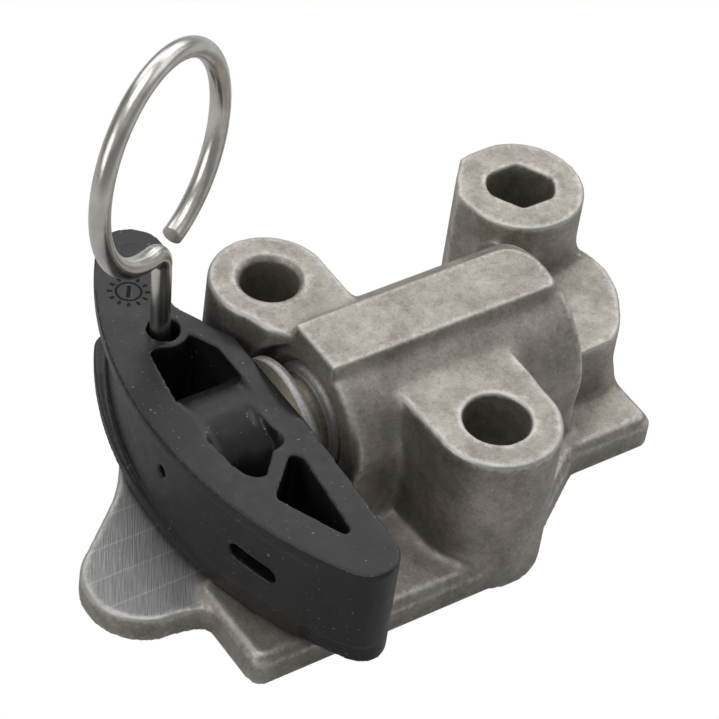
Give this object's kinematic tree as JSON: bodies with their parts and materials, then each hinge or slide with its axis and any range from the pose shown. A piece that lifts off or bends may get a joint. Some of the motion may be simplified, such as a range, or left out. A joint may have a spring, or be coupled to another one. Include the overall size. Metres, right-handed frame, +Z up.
{
  "type": "timing chain tensioner",
  "caption": "Hydraulic timing chain tensioner: cast housing with bolt bosses, spring-loaded plunger, curved plastic chain shoe and a wire locking pin with pull ring.",
  "frame": {"origin": "on the mounting face, straight under the plunger axis at the mouth of the bore", "axes": "+X along the plunger towards the chain, +Z up from the mounting face along the bolt holes"},
  "size_m": [0.0706, 0.0551, 0.0532],
  "materials": {
    "cast_aluminium": "as cast, matt and slightly speckled",
    "plunger_steel": "ground",
    "spring_steel": "plain wire",
    "filler_plastic": "moulded",
    "plug_brass": "turned",
    "valve_steel": "satin",
    "ball_steel": "polished",
    "shoe_plastic": "moulded, matt black",
    "wire_steel": "drawn wire, bright"
  },
  "bodies": {
    "housing": {"housing": "cast_aluminium", "valve_seat": "valve_steel", "valve_cage": "valve_steel", "valve_spring": "spring_steel", "plunger_spring": "spring_steel"},
    "plunger": {"plunger": "plunger_steel", "shoe": "shoe_plastic", "retaining_ring": "spring_steel", "vent_plug": "plug_brass", "spring_filler": "filler_plastic"},
    "locking_pin": {"locking_pin": "wire_steel"},
    "valve_ball": {"valve_ball": "ball_steel"}
  },
  "joints": [
    {"name": "plunger_slide", "type": "slide", "parent": "housing", "child": "plunger", "axis": [1, 0, 0], "range_m": [0, 0.01], "deforming": ["plunger_spring"]},
    {"name": "locking_pin_pull", "type": "slide", "parent": "plunger", "child": "locking_pin", "axis": [0.0407, -0.0329, 0.9986], "range_m": [0, 0.016]},
    {"name": "valve_ball_lift", "type": "slide", "parent": "housing", "child": "valve_ball", "axis": [1, 0, 0], "range_m": [0, 0.0008], "stiffness_N_per_m": 100, "springref_m": -0.0005, "deforming": ["valve_spring"]}
  ]
}
